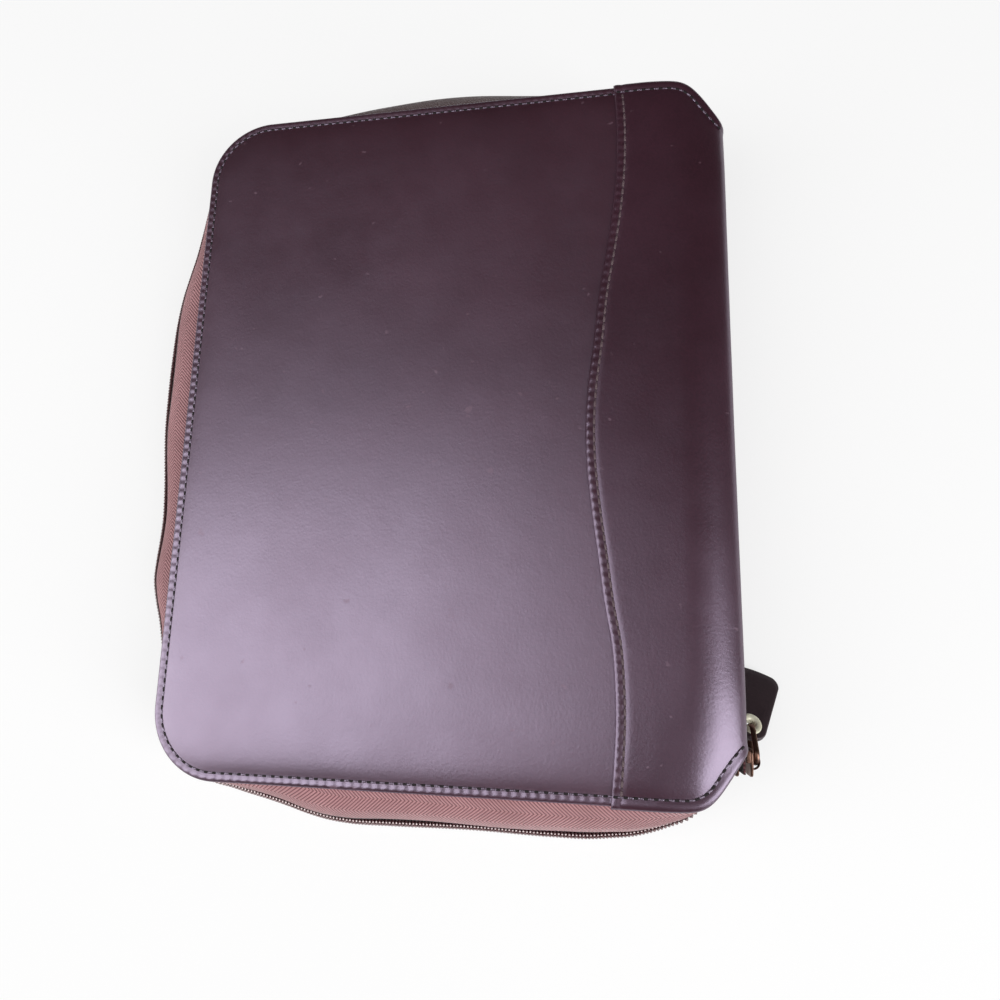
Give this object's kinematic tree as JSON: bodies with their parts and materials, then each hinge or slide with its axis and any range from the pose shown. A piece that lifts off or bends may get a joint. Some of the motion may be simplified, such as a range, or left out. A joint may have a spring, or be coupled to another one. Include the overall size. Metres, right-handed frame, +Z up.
{
  "type": "zippered ring planner",
  "caption": "Leather ring planner that closes with a zip round three sides; a ring mechanism on the spine holds pages and dividers, with pockets and a pen loop inside.",
  "frame": {"origin": "On the outside of the back cover, under the middle of the closed case between fore-edge and fold lines, on the surface it lies on.", "axes": "+Z is up out of the front cover, +Y runs to the top of the pages, and +X runs from the fore-edge to the spine."},
  "size_m": [0.2302, 0.2758, 0.0445],
  "materials": {
    "leather": "satin smooth plum leather",
    "panel_leather": "satin smooth plum leather with a turned edge",
    "board": "grey-brown binder's board",
    "foam": "thin soft foam padding",
    "lining": "dark woven lining",
    "zip_tape": "dusty rose herringbone woven tape",
    "zip_coil": "dark brown glossy nylon coil",
    "ring_steel": "polished nickel-plated steel",
    "paper": "cream writing paper",
    "card": "buff card",
    "slider_copper": "antique copper finish",
    "tab_leather": "dark brown leather",
    "eyelet_metal": "pale gold finish"
  },
  "bodies": {
    "back_cover": {"back_leather": "leather", "back_board": "board", "back_lining": "lining", "back_pocket": "leather", "lower_zip_tape": "zip_tape", "lower_zip_coil": "zip_coil"},
    "spine": {"spine_leather": "leather", "spine_board": "board", "spine_lining": "lining", "ring_base": "ring_steel", "base_rivet_1": "ring_steel", "base_rivet_2": "ring_steel", "zip_tail_upper": "zip_tape", "zip_tail_lower": "zip_tape"},
    "front_cover": {"front_leather": "leather", "front_foam": "foam", "front_board": "board", "front_lining": "lining", "front_overlay_panel": "panel_leather", "front_pocket_1": "leather", "front_pocket_2": "leather", "front_pocket_3": "leather", "pen_loop": "lining", "upper_zip_tape": "zip_tape", "upper_zip_coil": "zip_coil"},
    "front_section": {"front_pages": "paper", "front_divider": "card"},
    "back_section": {"back_pages": "paper", "back_divider": "card"},
    "rings_upper": {"ring_1_upper": "ring_steel", "ring_2_upper": "ring_steel", "ring_3_upper": "ring_steel", "ring_4_upper": "ring_steel", "ring_5_upper": "ring_steel", "ring_6_upper": "ring_steel", "ring_7_upper": "ring_steel", "hinge_plate_upper": "ring_steel"},
    "rings_lower": {"ring_1_lower": "ring_steel", "ring_2_lower": "ring_steel", "ring_3_lower": "ring_steel", "ring_4_lower": "ring_steel", "ring_5_lower": "ring_steel", "ring_6_lower": "ring_steel", "ring_7_lower": "ring_steel", "hinge_plate_lower": "ring_steel"},
    "top_lever": {"lever_top": "ring_steel"},
    "bottom_lever": {"lever_bottom": "ring_steel"},
    "slider": {"slider_body": "slider_copper", "slider_bridge": "slider_copper"},
    "link": {"pull_link": "slider_copper"},
    "tab": {"pull_tab": "tab_leather", "pull_eyelet": "eyelet_metal"}
  },
  "joints": [
    {"name": "spine_tilt", "type": "hinge", "parent": "back_cover", "child": "spine", "pos_m": [0.097, 0, 0.00265], "axis": [0, 1, 0], "range_deg": [0, 90]},
    {"name": "cover_open", "type": "hinge", "parent": "spine", "child": "front_cover", "pos_m": [0.097, 0, 0.04084], "axis": [0, 1, 0], "range_deg": [0, 94.86]},
    {"name": "front_pages_turn", "type": "hinge", "parent": "spine", "child": "front_section", "pos_m": [0.0786, 0, 0.02096], "axis": [0, 1, 0], "range_deg": [0, 94.87]},
    {"name": "back_pages_turn", "type": "hinge", "parent": "spine", "child": "back_section", "pos_m": [0.0786, 0, 0.02096], "axis": [0, 1, 0], "range_deg": [-90, 0]},
    {"name": "ring_open", "type": "hinge", "parent": "spine", "child": "rings_upper", "pos_m": [0.09375, 0, 0.03076], "axis": [0, 1, 0], "range_deg": [0, 6]},
    {"name": "ring_open_lower", "type": "hinge", "parent": "spine", "child": "rings_lower", "pos_m": [0.09375, 0, 0.01116], "axis": [0, -1, 0], "range_deg": [0, 6]},
    {"name": "top_lever_press", "type": "hinge", "parent": "spine", "child": "top_lever", "pos_m": [0.09155, 0.0943, 0.02096], "axis": [0, 0, -1], "range_deg": [0, 12]},
    {"name": "bottom_lever_press", "type": "hinge", "parent": "spine", "child": "bottom_lever", "pos_m": [0.09155, -0.0943, 0.02096], "axis": [0, 0, 1], "range_deg": [0, 12]},
    {"name": "slider_travel", "type": "slide", "parent": "spine", "child": "slider", "axis": [0, -1, 0], "range_m": [0, 0.004]},
    {"name": "link_swing", "type": "hinge", "parent": "slider", "child": "link", "pos_m": [0.1059, -0.1125, 0.022], "axis": [0, -0.5, -0.866], "range_deg": [0, 60]},
    {"name": "tab_swing", "type": "hinge", "parent": "link", "child": "tab", "pos_m": [0.1059, -0.1015, 0.01565], "axis": [-0.1934, -0.54, -0.8192], "range_deg": [0, 60]}
  ],
  "couplings": [
    {"joint": "front_pages_turn", "follows": "cover_open", "ratio": 1},
    {"joint": "back_pages_turn", "follows": "spine_tilt", "ratio": -1},
    {"joint": "ring_open_lower", "follows": "ring_open", "ratio": 1},
    {"joint": "top_lever_press", "follows": "ring_open", "ratio": 2},
    {"joint": "bottom_lever_press", "follows": "ring_open", "ratio": 2}
  ]
}
